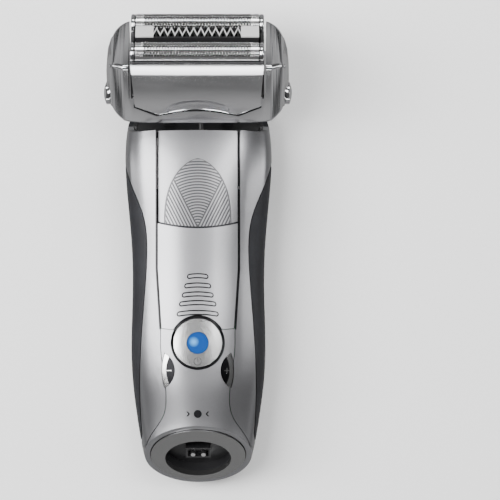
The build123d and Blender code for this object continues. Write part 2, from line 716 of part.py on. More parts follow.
fork_x = 2 * (pin_offset + eccentric_pin_radius + cutter_travel + 0.2)
bridge = block(32.0, 2 * foil_spacing + 2 * drive_pin_radius + 1.0, bridge_low, bridge_high)
for side in (-1, 1):                                 # the fork that straddles the eccentric pin
    bridge += block(1.4, 5.0, -1.5, bridge_low, at_x=side * (fork_x + 1.4) / 2)
drive_pins = []
for row in (-foil_spacing, foil_spacing):
    drive_pins.append(Pos(0, row, bridge_high) * Cylinder(
        drive_pin_radius, drive_pin_top - bridge_high, align=(Align.CENTER, Align.CENTER, Align.MIN)))
bridge += joined(drive_pins)
save("drive_bridge", on_head(bridge.solids().sort_by(SortBy.VOLUME)[-1]))

for name, side in (("left", -1), ("right", 1)):
    outer = head_half + release_proud
    at_button = Pos(0, release_y, release_z)
    length = outer - collar_outer + collar_thickness
    cap_solid = at_button * Pos(side * (outer - length / 2), 0, 0) * Rot(0, 90, 0) * Cylinder(
        release_radius, length)
    cap_solid &= at_button * Pos(side * (outer - release_dome_radius), 0, 0) * Sphere(release_dome_radius)
    collar = at_button * Pos(side * (collar_outer - collar_thickness / 2), 0, 0) * Rot(0, 90, 0) * Cylinder(
        release_radius + collar_grow, collar_thickness)
    collar &= block(90, 40, hollow_floor + 0.1, 40)
    save("release_button_" + name, on_head(cap_solid + collar))
    spring = Pos(side * 25.9, release_y, release_z) * Rot(0, 90, 0) * (
        Cylinder(2.4, 2.0) - Cylinder(1.8, 4.0))
    save("release_spring_" + name, on_head(spring))

# ---------------------------------------------------------------- cassette
half_depth = cassette_depth / 2
inner_x, inner_y = cassette_half - 1.3, half_depth - cassette_wall
floor_low = base_top + 0.3
floor_top = floor_low + 1.2
cassette_frame = block(2 * (cassette_half - 0.1), 2 * half_depth, floor_low, cassette_top)
cassette_frame = fillet(cassette_frame.edges().filter_by(Axis.Z), 1.2)
cassette_frame -= block(2 * inner_x, 2 * inner_y, floor_top, 40)
for row in drive_rows:
    cassette_frame -= block(9.0, 3.4, 0, 20, at_y=row)
save("cassette_frame", on_head(cassette_frame))
front_skirt = upright(skirt_outline(0)) & block(80, skirt_thickness, -10, 40,
                                                at_y=-half_depth - skirt_thickness / 2)
save("front_skirt", on_head(front_skirt))
rear_skirt = block(2 * (cassette_half - 1.2), skirt_thickness, 3.6, cassette_top - 0.6,
                   at_y=half_depth + skirt_thickness / 2)
save("rear_skirt", on_head(rear_skirt))

foil_z = cassette_top - 0.1
foil_half = foil_length / 2
holder_low = 17.0


def rail(radius, length, row, z=foil_z):
    return Pos(0, row, z) * Rot(0, 90, 0) * Cylinder(radius, length)


def foil_parts(row):
    """A bent foil sheet with straight legs, and the holder frame inside its lower edge."""
    outside = rail(foil_radius, foil_length, row) & block(99, 20, foil_z, 60, at_y=row)
    outside += block(foil_length, 2 * foil_radius, holder_low + 0.6, foil_z, at_y=row)
    bore = foil_radius - foil_thickness
    inside = rail(bore, foil_length + 2, row) & block(99, 20, foil_z - 0.01, 60, at_y=row)
    inside += block(foil_length + 2, 2 * bore, 0, foil_z, at_y=row)
    sheet = outside - inside
    rim = bore - 0.02
    holder = block(foil_length - 0.3, 2 * rim, holder_low, holder_low + 2.4, at_y=row)
    holder -= block(foil_length - 3.4, 2 * rim - 1.0, 0, 40, at_y=row)
    for side in (-1, 1):
        end = rail(rim, 1.2, row) & block(99, 20, foil_z - 0.01, 60, at_y=row)
        end += block(1.2, 2 * rim, holder_low, foil_z, at_y=row)
        holder += Pos(side * (foil_half - 0.75), 0, 0) * end
    return sheet, holder


cutter_half = foil_half - 1.5 - cutter_travel - cutter_end_gap
cutter_radius = foil_radius - foil_thickness - cutter_air_gap
blade_thickness = 0.8
foot_low = floor_top + foil_float + 0.4           # room to sink as the foils float


def cutter(row):
    """A row of arched blades on a bar, with a socket below for the drive pin."""
    bar = block(2 * cutter_half, 3.2, 17.6, 20.6, at_y=row)
    body = [bar]
    for i in range(cutter_blades):
        x = (i - (cutter_blades - 1) / 2) * (2 * cutter_half - blade_thickness) / (cutter_blades - 1)
        disc = Pos(x, row, foil_z) * Rot(0, 90, 0) * (
            Cylinder(cutter_radius, blade_thickness) - Cylinder(2.0, 2))
        disc &= block(99, 20, foil_z - 0.5, 60, at_y=row)
        leg = block(blade_thickness, 2 * cutter_radius - 0.6, 19.6, foil_z - 0.4, at_x=x, at_y=row)
        leg -= block(2, 2.6, 20.6, 40, at_x=x, at_y=row)
        body.append(disc + leg)
    block_solid = joined(body)
    foot = block(6.6, 5.4, foot_low, 17.8, at_y=row)
    foot -= Pos(0, row, 0) * Cylinder(drive_pin_radius + 0.15, 29.4)
    return block_solid + foot


for name, row in (("front", -foil_spacing), ("rear", foil_spacing)):
    sheet, holder = foil_parts(row)
    save("foil_" + name, on_head(sheet))
    save("foil_holder_" + name, on_head(holder.solids().sort_by(SortBy.VOLUME)[-1]))
    save("cutter_" + name, on_head(cutter(row).solids().sort_by(SortBy.VOLUME)[-1]))
    springs = []
    for side in (-1, 1):
        coil = Pos(side * 15.0, row, floor_low + 1.5) * (
            Cylinder(2.0, holder_low - floor_low - 1.8, align=(Align.CENTER, Align.CENTER, Align.MIN))
            - Cylinder(1.4, 60))
        springs.append(coil)
    save("foil_springs_" + name, on_head(joined(springs)))

# middle trimmer: guard comb on a holder, with an oscillating blade between
guard_top = foil_z + foil_radius - 0.2
guard_low = guard_top - 0.5
plate_inner = 15.2
zig_half, zig_count = 1.85, 25
zig_pitch = 2 * plate_inner / (zig_count - 1)
upper = [(-plate_inner + i * zig_pitch, (zig_half if i % 2 else -zig_half) + 0.42)
         for i in range(zig_count)]
lower = [(x, y - 0.84) for x, y in reversed(upper)]
guard = Pos(0, 0, guard_low) * extrude(make_face(Polyline(*upper, *lower, close=True)), 0.5)
for side in (-1, 1):
    guard += block(foil_half - plate_inner + 0.2, middle_width, guard_low, guard_top,
                   at_x=side * (foil_half + plate_inner - 0.2) / 2)
save("skip_guard", on_head(guard.solids().sort_by(SortBy.VOLUME)[-1]))
blade_high, blade_low = guard_low - 0.05, guard_low - 0.55
middle_blade = block(2 * (plate_inner - 0.6), 1.2, blade_low, blade_high)
for i in range(20):
    x = (i - 9.5) * 1.48
    middle_blade += block(0.6, 4.2, blade_low, blade_high, at_x=x)
middle_foot_low = floor_top + middle_float + 0.4
middle_blade += block(10, 1.6, middle_foot_low + 0.8, blade_low)
middle_blade += block(8.0, 4.4, middle_foot_low, middle_foot_low + 1.6)
save("middle_blade", on_head(middle_blade))
middle_holder = block(foil_length, middle_width, holder_low, guard_low)
middle_holder -= block(2 * plate_inner + 1.6, middle_width - 1.0, 0, 40)
save("middle_holder", on_head(middle_holder))
middle_springs = [block(3.4, 3.4, floor_low + 1.5, holder_low - 0.3, at_x=side * 18.3)
                  - block(2.4, 2.4, 0, 40, at_x=side * 18.3) for side in (-1, 1)]
save("middle_springs", on_head(joined(middle_springs)))
cap_x = cassette_half - 0.1
end_caps = []
for side in (-1, 1):                                 # an arch at each end of each foil
    for row in (-foil_spacing, foil_spacing):
        arch = Pos(side * (cap_x - end_cap_thickness / 2), row, foil_z) * Rot(0, 90, 0) * Cylinder(
            end_cap_radius, end_cap_thickness)
        end_caps.append(arch & block(99, 40, cassette_top, 60))
save("end_caps", on_head(joined(end_caps)))

# ---------------------------------------------------------------- export, origin under the middle
shift = Pos(0, -overall_length / 2, 0)
for name, solids in made.items():
    placed = [shift * solid for solid in solids]
    export_step(placed[0] if len(placed) == 1 else Compound(children=placed), f"parts/{name}.step")
print(len(made), "nodes")
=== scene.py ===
import bpy
import bmesh
import json
import math
from mathutils import Matrix, Vector


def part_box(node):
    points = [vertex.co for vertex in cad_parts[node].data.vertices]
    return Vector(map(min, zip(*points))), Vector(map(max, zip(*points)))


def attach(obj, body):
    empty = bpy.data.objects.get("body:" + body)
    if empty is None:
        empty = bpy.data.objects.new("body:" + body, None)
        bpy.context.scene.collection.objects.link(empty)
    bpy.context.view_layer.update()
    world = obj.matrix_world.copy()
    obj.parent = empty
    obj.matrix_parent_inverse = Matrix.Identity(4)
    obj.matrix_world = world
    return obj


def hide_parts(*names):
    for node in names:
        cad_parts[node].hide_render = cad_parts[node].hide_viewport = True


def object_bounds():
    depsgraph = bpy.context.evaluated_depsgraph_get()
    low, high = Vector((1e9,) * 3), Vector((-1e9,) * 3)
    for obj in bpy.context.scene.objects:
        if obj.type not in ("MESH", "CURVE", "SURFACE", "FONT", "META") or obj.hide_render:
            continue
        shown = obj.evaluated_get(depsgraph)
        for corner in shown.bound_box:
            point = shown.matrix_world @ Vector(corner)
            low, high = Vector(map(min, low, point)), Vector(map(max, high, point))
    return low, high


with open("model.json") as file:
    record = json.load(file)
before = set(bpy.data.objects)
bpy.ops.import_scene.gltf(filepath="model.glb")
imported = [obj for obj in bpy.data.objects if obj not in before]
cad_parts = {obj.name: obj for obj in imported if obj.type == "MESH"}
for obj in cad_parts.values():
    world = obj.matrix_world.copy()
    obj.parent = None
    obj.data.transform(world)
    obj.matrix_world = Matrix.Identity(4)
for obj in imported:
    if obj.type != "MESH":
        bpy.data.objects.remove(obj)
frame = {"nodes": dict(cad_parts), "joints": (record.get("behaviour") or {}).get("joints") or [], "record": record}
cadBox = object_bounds()
nodes = frame["nodes"]
mm = 0.001
print("frame loaded:", len(nodes), "CAD nodes")

# the head's own axes: x across, y to the rear, z out through the foils
headJoint = next(j for j in frame["joints"] if j["name"] == "head_tilt")
liftJoint = next(j for j in frame["joints"] if j["name"] == "cassette_lift")
pivot = Vector(headJoint["pos_m"])
headOut = Vector(liftJoint["axis"])
headRear = headOut.cross(Vector((1, 0, 0)))
headPlace = Matrix((
    (1, headRear.x, headOut.x, pivot.x),
    (0, headRear.y, headOut.y, pivot.y),
    (0, headRear.z, headOut.z, pivot.z),
    (0, 0, 0, 1)))


# shader helpers

class Sock:
    # a shader socket that can be used in plain arithmetic

    def __init__(self, mat, link):
        self.mat = mat
        self.link = link

    def calc(self, operation, *others):
        return self.mat.add("ShaderNodeMath", {"operation": operation}, (self, *others))

    def __add__(self, other):
        return self.calc("ADD", other)

    def __sub__(self, other):
        return self.calc("SUBTRACT", other)

    def __mul__(self, other):
        return self.calc("MULTIPLY", other)

    def __truediv__(self, other):
        return self.calc("DIVIDE", other)

    def __pow__(self, other):
        return self.calc("POWER", other)

    def __rsub__(self, other):
        return self.mat.add("ShaderNodeMath", {"operation": "SUBTRACT"}, (other, self))

    def __lt__(self, other):
        return self.calc("LESS_THAN", other)

    def __gt__(self, other):
        return self.calc("GREATER_THAN", other)

    def __abs__(self):
        return self.calc("ABSOLUTE")

    def root(self):
        return self.calc("SQRT")

    __radd__ = __add__
    __rmul__ = __mul__


class Finish:
    # one procedural material, built node by node on Object coordinates

    def __init__(self, name, **shader):
        self.data = bpy.data.materials.new(name)
        self.data.use_nodes = True
        self.tree = self.data.node_tree
        self.tree.nodes.clear()
        self.out = self.tree.nodes.new("ShaderNodeOutputMaterial")
        self.shader = self.tree.nodes.new("ShaderNodeBsdfPrincipled")
        self.tree.links.new(self.shader.outputs["BSDF"], self.out.inputs["Surface"])
        for key, value in shader.items():
            self.feed(self.shader, key.replace("_", " "), value)

    def feed(self, node, key, value):
        if isinstance(value, Sock):
            self.tree.links.new(value.link, node.inputs[key])
        else:
            node.inputs[key].default_value = value

    def add(self, kind, settings=None, values=(), take=0):
        node = self.tree.nodes.new(kind)
        for key, value in (settings or {}).items():
            if key == "stops":
                ramp = node.color_ramp
                while len(ramp.elements) < len(value):
                    ramp.elements.new(0.5)
                for element, (place, colour) in zip(ramp.elements, value):
                    element.position = place
                    element.color = colour
            else:
                setattr(node, key, value)
        pairs = values.items() if isinstance(values, dict) else enumerate(values)
        for key, value in pairs:
            self.feed(node, key, value)
        return Sock(self, node.outputs[take])

    def place(self, centre=(0, 0, 0), turn=(0, 0, 0), scale=(1, 1, 1)):
        # Object coordinates, centred, turned and scaled on the piece
        here = self.add("ShaderNodeTexCoord", take="Object")
        shift = self.add("ShaderNodeVectorMath", {"operation": "SUBTRACT"}, (here, centre))
        return self.add("ShaderNodeMapping", {},
                        {"Vector": shift, "Rotation": turn, "Scale": scale})

    def noise(self, where, scale, detail=3.0, rough=0.55):
        return self.add("ShaderNodeTexNoise", {},
                        {"Vector": where, "Scale": scale, "Detail": detail, "Roughness": rough})

    def split(self, where, axis):
        return self.add("ShaderNodeSeparateXYZ", {}, (where,), take=axis)

    def blend(self, factor, first, second):
        return self.add("ShaderNodeMix", {"data_type": "RGBA"},
                        {0: factor, 6: first, 7: second}, take=2)

    def ramp(self, factor, *stops):
        return self.add("ShaderNodeValToRGB", {"stops": stops}, (factor,))

    def smooth(self, value, low, high):
        # 0 below low, 1 above high, soft between them
        return self.add("ShaderNodeMapRange", {"interpolation_type": "SMOOTHSTEP"},
                        {"Value": value, "From Min": low, "From Max": high})

    def along(self, where, axis):
        return self.add("ShaderNodeVectorMath", {"operation": "DOT_PRODUCT"},
                        (where, tuple(axis)), take=1)

    def bump(self, height, distance, strength=0.5):
        normal = self.add("ShaderNodeBump", {},
                          {"Strength": strength, "Distance": distance, "Height": height})
        self.feed(self.shader, "Normal", normal)

    def set(self, **sockets):
        for key, value in sockets.items():
            self.feed(self.shader, key.replace("_", " "), value)
        return self


def grey(value, tint=0.0):
    return (value, value, value * (1 + tint), 1)


# finishes

def metalLacquer(name, dark, light, rough, metal=0.9, pattern=None, coat=0.25):
    # satin metallic lacquer: fine flake, faint orange peel and rubbed patches
    finish = Finish(name, Metallic=metal, Coat_Weight=coat, Coat_Roughness=0.12)
    where = finish.place()
    flake = finish.noise(where, 5200, 2)
    cloud = finish.noise(where, 60, 4)
    rub = finish.noise(where, 420, 4, 0.6)
    colour = finish.ramp(flake * 0.85 + cloud * 0.15, (0.3, dark), (0.7, light))
    height = flake * 0.003 + cloud * 0.001           # in millimetres
    roughness = rough + (rub - 0.5) * 0.02 + (flake - 0.5) * 0.03
    if pattern:
        # the pattern's dark mark is print on some pieces and painted shade on others
        mark, groove, inkAndShade = pattern(finish)
        colour = finish.blend(mark, colour, inkAndShade)
        height = height - groove * 0.1
        roughness = roughness + mark * 0.1
    finish.set(Base_Color=colour, Roughness=roughness)
    finish.bump(height, mm, 0.8)
    return finish.data


def chromeLike(name, shade, rough):
    # polished plating with faint polishing marks and handling haze
    finish = Finish(name, Metallic=1.0)
    where = finish.place(scale=(1, 1, 6))
    marks = finish.noise(where, 900, 4)
    haze = finish.noise(where, 45, 5, 0.65)
    tone = finish.ramp(haze, (0.3, grey(shade * 0.93, 0.02)), (0.7, grey(shade, 0.02)))
    finish.set(Base_Color=tone,
               Roughness=rough + (haze - 0.4) * 0.08 + (marks - 0.5) * 0.04)
    finish.bump(marks, 0.000004, 0.2)
    return finish.data


def mouldedPlastic(name, shade, rough, grain=0.00003, gloss=0.5):
    # spark-eroded moulding grain with slightly shinier handled places
    finish = Finish(name, Specular_IOR_Level=gloss)
    where = finish.place()
    pits = finish.noise(where, 2600, 3)
    worn = finish.noise(where, 70, 4)
    lighter = tuple(c * 1.25 for c in shade[:3]) + (1,)
    finish.set(Base_Color=finish.ramp(worn, (0.3, shade), (0.75, lighter)),
               Roughness=rough + (pits - 0.5) * 0.15 - (worn - 0.5) * 0.12)
    finish.bump(pits, grain, 0.4)
    return finish.data


def softGrip(name):
    # soft-touch rubber: tiny leathery grain, dusty highs
    finish = Finish(name, Specular_IOR_Level=0.3)
    where = finish.place()
    cells = finish.add("ShaderNodeTexVoronoi", {"feature": "F1"}, {"Vector": where, "Scale": 2300})
    dust = finish.noise(where, 110, 5, 0.7)
    clean, dusty = (0.009, 0.009, 0.011, 1), (0.018, 0.019, 0.023, 1)
    finish.set(Base_Color=finish.ramp(dust, (0.3, clean), (0.8, dusty)),
               Roughness=0.46 + (dust - 0.5) * 0.16 + cells * 0.08)
    finish.bump(cells, 0.00006, 0.35)
    return finish.data


def brushedSteel(name, shade, rough, along=(1, 1, 30)):
    # ground or drawn metal, with lines along one direction
    finish = Finish(name, Metallic=1.0)
    where = finish.place(scale=along)
    lines = finish.noise(where, 500, 3)
    patch = finish.noise(finish.place(), 80, 4)
    mixed = lines * 0.5 + patch * 0.5
    finish.set(Base_Color=finish.ramp(mixed, (0.35, grey(shade * 0.85)), (0.65, grey(shade))),
               Roughness=rough + (lines - 0.5) * 0.2 + (patch - 0.5) * 0.08)
    finish.bump(lines, 0.00001, 0.3)
    return finish.data


# where the painted highlight sits, where the rim starts, the colours, and the strength of the painted glow
lensSet = {"highlightX": -0.35, "highlightY": 0.1, "rimFrom": 0.9, "pale": (0.1, 0.38, 0.8, 1),
           "deep": (0.004, 0.055, 0.26, 1), "rim": (0.01, 0.05, 0.16, 1), "lit": 0.05}


def lensBlue(name, centre, radius):
    # blue dome with a faint painted glow: deep blue at the rim, a paler painted highlight low on the left
    finish = Finish(name, Metallic=0.0, Coat_Weight=1.0, Coat_Roughness=0.03)
    where = finish.place(centre)
    x = finish.split(where, 0) / radius
    y = finish.split(where, 1) / radius
    rim = (x * x + y * y).root()
    offX, offY = x - lensSet["highlightX"], y - lensSet["highlightY"]
    highlightSpread = (offX * offX + offY * offY).root()
    cloud = finish.noise(where, 400, 3)
    body = finish.ramp(highlightSpread + cloud * 0.1, (0.12, lensSet["pale"]), (0.55, lensSet["deep"]))
    finish.set(Base_Color=finish.blend(rim > lensSet["rimFrom"], body, lensSet["rim"]),
               Roughness=0.12 + cloud * 0.06,
               Emission_Color=body)
    # painted glow: the lens emits its own blue faintly
    finish.shader.inputs["Emission Strength"].default_value = lensSet["lit"]
    finish.bump(cloud, 0.00001, 0.15)
    return finish.data


# marks and reliefs, drawn in the row's own X and Y

footY = cadBox[0].y
channelMark = {"from": 54.0, "flareFrom": 54.5, "flareOver": 20.5, "flare": 1.3, "half": 13.0}
thumbMark = {"apexY": 89.9, "pitch": 1.0, "veeDegrees": 26.8, "topY": 113.3, "halfWidth": 11.8,
             "shoulder": 2.6, "rounding": 0.62, "splitY": 0.9, "splitSag": 1.8, "splitHalf2": 197}
ribMarks = ((72.6, 2.85), (69.4, 3.8), (66.3, 4.65), (63.3, 5.6), (59.9, 6.4))
smallMark = {"x": 10.1, "y": 39.8, "reach": 0.95, "width": 0.28}
symbolMark = {"y": 43.0, "radius": 1.3, "width": 0.26, "discY": 49.4, "discRadius": 8.35}
chevronMark = {"y": 24.8, "x": 3.3, "reach": 0.85, "width": 0.3}


def flatPlace(finish):
    # X and Y in millimetres from the foot, across and along the shaver
    here = finish.place((0, footY, 0))
    return finish.split(here, 0) * 1000, finish.split(here, 1) * 1000


def channelGapShade(finish, x, y, offset):
    # painted shade: the black of the gap down each side of the centre channel, painted on the pieces beside it
    flare = channelMark["flare"]
    up = y - channelMark["flareFrom"]
    flared = (up * (flare / channelMark["flareOver"])).calc("MINIMUM", flare)
    near = finish.smooth(abs(x) - (flared + channelMark["half"] + offset), -0.05, 0.05)
    return (near if offset < 0 else 1 - near) * (y > channelMark["from"])


def frameGapShade(finish):
    # painted shade: the channel's gap line, painted near-black on the side frames
    x, y = flatPlace(finish)
    line = channelGapShade(finish, x, y, 0.38)
    return line, line * 0.1, (0.01, 0.01, 0.011, 1)


def thumbRelief(finish):
    # arcs inside an upward vee, straight grooves beside it, all inside a tall arch
    x, y = flatPlace(finish)
    y = y - thumbMark["apexY"]
    vee = math.radians(thumbMark["veeDegrees"])
    side = abs(x)
    radius = (x * x + y * y).root()
    across = side * math.cos(vee) - y * math.sin(vee)
    inside = across < 0
    run = inside * radius + (1 - inside) * across
    wave = (run * (2 * math.pi / thumbMark["pitch"])).calc("SINE") * 0.5 + 0.5
    tall = thumbMark["topY"] - thumbMark["apexY"]
    up = (y / tall).calc("MAXIMUM", 0)
    wide = ((1 - up ** thumbMark["shoulder"]).calc("MAXIMUM", 0) ** thumbMark["rounding"]
            * thumbMark["halfWidth"])
    edge = wide - side
    arch = finish.smooth(edge, 0.0, 0.25) * (y < tall)
    rim = arch * (1 - finish.smooth(edge, 0.35, 0.7))
    groove = finish.smooth(wave, 0.3, 0.75) * arch * (1 - rim)
    sag = x * x * (thumbMark["splitSag"] / thumbMark["splitHalf2"])
    splitGapShade = 1 - finish.smooth(y + thumbMark["splitY"] - sag, 0.6, 0.75)
    # painted shade: the grooves, the arch rim, the split under the slide's top edge and the channel's gap are
    # darkened
    dark = (groove * 0.8).calc("MAXIMUM", rim * 0.85).calc("MAXIMUM", splitGapShade)
    dark = dark.calc("MAXIMUM", channelGapShade(finish, x, y + thumbMark["apexY"], -0.55))
    return dark, groove + rim * 0.6, (0.015, 0.015, 0.017, 1)


def ribOutlines(finish):
    # a dark line round each raised grip rib
    x, y = flatPlace(finish)
    side = abs(x)
    total = None
    for ribY, half in ribMarks:
        bowed = y - ribY + x * x * (0.08 / half)
        past = (side - half).calc("MAXIMUM", 0)
        gap = (past * past + bowed * bowed).root()
        line = finish.smooth(gap, 0.42, 0.52) * (1 - finish.smooth(gap, 0.85, 0.95))
        total = line if total is None else total.calc("MAXIMUM", line)
    # painted shade: the channel's gap line beside the slide
    total = total.calc("MAXIMUM", channelGapShade(finish, x, y, -0.5))
    return total, total * 0.3, (0.008, 0.008, 0.009, 1)


def smallButtonMarks(finish):
    # a minus on the left button, a plus on the right, and the black inner half of both
    x, y = flatPlace(finish)
    side = abs(x)
    reach, width = smallMark["reach"], smallMark["width"] / 2
    dx, dy = abs(side - smallMark["x"]), abs(y - smallMark["y"])
    bar = (dx < reach) * (dy < width)
    post = (dx < width) * (dy < reach) * (x > 0)
    mark = bar.calc("MAXIMUM", post)
    inner = 1 - finish.smooth(side + dy * dy * 0.05, 10.9, 11.15)
    return inner * (1 - mark), mark * 0.2, (0.01, 0.01, 0.011, 1)


def powerSymbol(finish):
    x, y = flatPlace(finish)
    y = y - symbolMark["y"]
    gap = abs((x * x + y * y).root() - symbolMark["radius"])
    ring = (gap < symbolMark["width"] / 2) * (1 - (abs(x) < 0.45) * (y > 0))
    stroke = (abs(x) < symbolMark["width"] / 2) * (y > -0.1) * (y < symbolMark["radius"] + 0.25)
    mark = ring.calc("MAXIMUM", stroke) * 0.75
    # the power symbol is print; the flange round the disc is painted near-black as painted shade of the gap round
    # the disc
    centreY = y + symbolMark["y"] - symbolMark["discY"]
    flangeShade = (x * x + centreY * centreY).root() > symbolMark["discRadius"]
    return mark.calc("MAXIMUM", flangeShade), mark * 0.3, (0.012, 0.012, 0.013, 1)


def chevrons(finish):
    x, y = flatPlace(finish)
    off = abs(y - chevronMark["y"])
    point = abs(abs(x) - chevronMark["x"] - off * 0.8 + 0.3)
    mark = (point < chevronMark["width"]) * (off < chevronMark["reach"])
    return mark, mark * 0.1, (0.012, 0.012, 0.013, 1)


looks = {
    "silver": metalLacquer("bodySilver", grey(0.21, 0.04), grey(0.27, 0.04), 0.3),
    "dark_silver": metalLacquer("thumbSilver", grey(0.22, 0.04), grey(0.28, 0.04), 0.32,
                                pattern=thumbRelief),
    "chrome": chromeLike("headChrome", 0.66, 0.12),
    "grip": softGrip("softGrip"),
    "black": mouldedPlastic("blackMoulding", (0.012, 0.012, 0.013, 1), 0.42),
    "steel": brushedSteel("groundSteel", 0.62, 0.25),
    "foil": brushedSteel("foilSteel", 0.78, 0.2, (30, 1, 1)),
    "brass": brushedSteel("contactBrass", 0.7, 0.3),
    "board": mouldedPlastic("solderMask", (0.02, 0.12, 0.05, 1), 0.3),
    "cell": mouldedPlastic("cellSleeve", (0.05, 0.14, 0.35, 1), 0.3),
    "motor_can": brushedSteel("motorCan", 0.55, 0.3),
    "bezel": metalLacquer("bezelMetal", grey(0.3), grey(0.36), 0.22, 0.95),
}
ownLooks = {
    "side_frame_left": metalLacquer("frameSilver", grey(0.2, 0.04), grey(0.26, 0.04), 0.3,
                                    pattern=frameGapShade),
    # painted shade: the steel cutters are made near-black so the foil holes read as shade
    "cutter_front": mouldedPlastic("cutterShadeBlack", (0.006, 0.006, 0.007, 1), 0.6, gloss=0.1),
    # painted shade: the shaft is darkened to sit in the shadow of the neck gap
    "motor_shaft": brushedSteel("shaftSteel", 0.1, 0.4),
    # painted shade: the steel blade is made near-black so it reads as shade under the comb
    "middle_blade": brushedSteel("hiddenBlade", 0.05, 0.4),
    # painted highlight: the guard is near-white and only half metallic so it reads bright whatever it mirrors
    "skip_guard": metalLacquer("guardPaintedBright", grey(0.78), grey(0.92), 0.24, 0.45),
    "trimmer_slide": metalLacquer("slideSilver", grey(0.25, 0.04), grey(0.31, 0.04), 0.3,
                                  pattern=ribOutlines),
    "face_plate": metalLacquer("plateSilver", grey(0.22, 0.04), grey(0.28, 0.04), 0.3,
                               pattern=chevrons),
    "minus_button": metalLacquer("minusChrome", grey(0.5), grey(0.62), 0.15, 1.0,
                                 smallButtonMarks, 0.03),
    "plus_button": metalLacquer("plusChrome", grey(0.5), grey(0.62), 0.15, 1.0,
                                smallButtonMarks, 0.03),
    "indicator_lens": mouldedPlastic("indicatorSmoke", (0.004, 0.004, 0.005, 1), 0.5, gloss=0.1),
    "power_button": metalLacquer("powerDisc", grey(0.5), grey(0.6), 0.2, 1.0, powerSymbol),
}
ownLooks["side_frame_right"] = ownLooks["side_frame_left"]
ownLooks["cutter_rear"] = ownLooks["cutter_front"]
lensLow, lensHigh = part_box("power_lens")
lensRadius = (lensHigh.x - lensLow.x) / 2
looks["blue_lens"] = lensBlue("blueLens", tuple((lensLow + lensHigh) / 2), lensRadius)
for row in frame["record"]["subparts"]:
    node = nodes[row["node"]]
    node.data.materials.clear()
    node.data.materials.append(ownLooks.get(row["node"]) or looks[row["material_slot"]])
print("finishes made:", len(looks) + len(ownLooks))

# modelling helpers

def clearSelection():
    if bpy.context.mode != "OBJECT":
        bpy.ops.object.mode_set(mode="OBJECT")
    bpy.ops.object.select_all(action="DESELECT")


def editMode(piece):
    clearSelection()
    piece.select_set(True)
    bpy.context.view_layer.objects.active = piece
    bpy.ops.object.mode_set(mode="EDIT")


def pick(piece, kind, test):
    # selects the faces or edges of the piece in edit mode that pass the test
    bpy.ops.mesh.select_mode(type=kind)
    bpy.ops.mesh.select_all(action="DESELECT")
    mesh = bmesh.from_edit_mesh(piece.data)
    for part in {"FACE": mesh.faces, "EDGE": mesh.edges}[kind]:
        if test(part):
            part.select_set(True)
    mesh.select_flush_mode()
    bmesh.update_edit_mesh(piece.data)


def modify(piece, kind, **settings):
    clearSelection()
    piece.select_set(True)
    bpy.context.view_layer.objects.active = piece
    modifier = piece.modifiers.new(kind.lower(), kind)
    for key, value in settings.items():
        setattr(modifier, key, value)
    bpy.ops.object.modifier_apply(modifier=modifier.name)


def settle(piece, name, look, body, replaced=(), angle=40, place=None):
    # gives a finished piece its place, name, finish, shading and body
    clearSelection()
    piece.select_set(True)
    bpy.context.view_layer.objects.active = piece
    if place is not None:
        piece.matrix_world = place @ piece.matrix_world
    bpy.ops.object.transform_apply(location=True, rotation=True, scale=True)
    piece.name = name
    piece.data.name = name
    piece.data.materials.clear()
    piece.data.materials.append(look)
    bpy.ops.object.shade_smooth_by_angle(angle=math.radians(angle))
    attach(piece, body)
    if replaced:
        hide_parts(*replaced)
    piece.select_set(False)
    return piece


def placedCopy(piece, move, turn=(0, 0, 0)):
    # a copy with its own mesh, moved and turned
    clearSelection()
    piece.select_set(True)
    bpy.context.view_layer.objects.active = piece
    bpy.ops.object.duplicate(linked=False)
    copy = bpy.context.object
    copy.location = move
    copy.rotation_euler = turn
    bpy.ops.object.transform_apply(location=True, rotation=True, scale=True)
    return copy


def joinAll(pieces):
    clearSelection()
    for piece in pieces:
        piece.select_set(True)
    bpy.context.view_layer.objects.active = pieces[0]
    bpy.ops.object.join()
    return pieces[0]


def outlinePiece(points, low, high, upright=False):
    # a straight block from a closed outline: drawn in X and Y, or standing in X and Z
    turned = [(x * mm, low * mm, z * mm) if upright else (x * mm, z * mm, low * mm)
              for x, z in points]
    mesh = bpy.data.meshes.new("outline")
    mesh.from_pydata(turned, [], [list(range(len(turned)))])
    piece = bpy.data.objects.new("outline", mesh)
    bpy.context.scene.collection.objects.link(piece)
    editMode(piece)
    bpy.ops.mesh.select_all(action="SELECT")
    rise = (high - low) * mm
    bpy.ops.mesh.extrude_region_move(
        TRANSFORM_OT_translate={"value": (0, rise, 0) if upright else (0, 0, rise)})
    bpy.ops.mesh.select_all(action="SELECT")
    bpy.ops.mesh.normals_make_consistent(inside=False)
    bpy.ops.object.mode_set(mode="OBJECT")
    return piece


def boxPiece(low, high):
    clearSelection()
    size = [(b - a) * mm for a, b in zip(low, high)]
    middle = [(a + b) / 2 * mm for a, b in zip(low, high)]
    bpy.ops.mesh.primitive_cube_add(size=1, location=middle, scale=size)
    piece = bpy.context.object
    bpy.ops.object.transform_apply(location=True, rotation=True, scale=True)
    return piece


def rodPiece(radius, length, middle, sides=48):
    clearSelection()
    bpy.ops.mesh.primitive_cylinder_add(
        vertices=sides, radius=radius * mm, depth=length * mm,
        location=[c * mm for c in middle], rotation=(0, math.pi / 2, 0))
    piece = bpy.context.object
    bpy.ops.object.transform_apply(location=True, rotation=True, scale=True)
    return piece


def carve(piece, other, operation="DIFFERENCE"):
    modify(piece, "BOOLEAN", object=other, operation=operation, solver="EXACT")
    bpy.data.objects.remove(other)


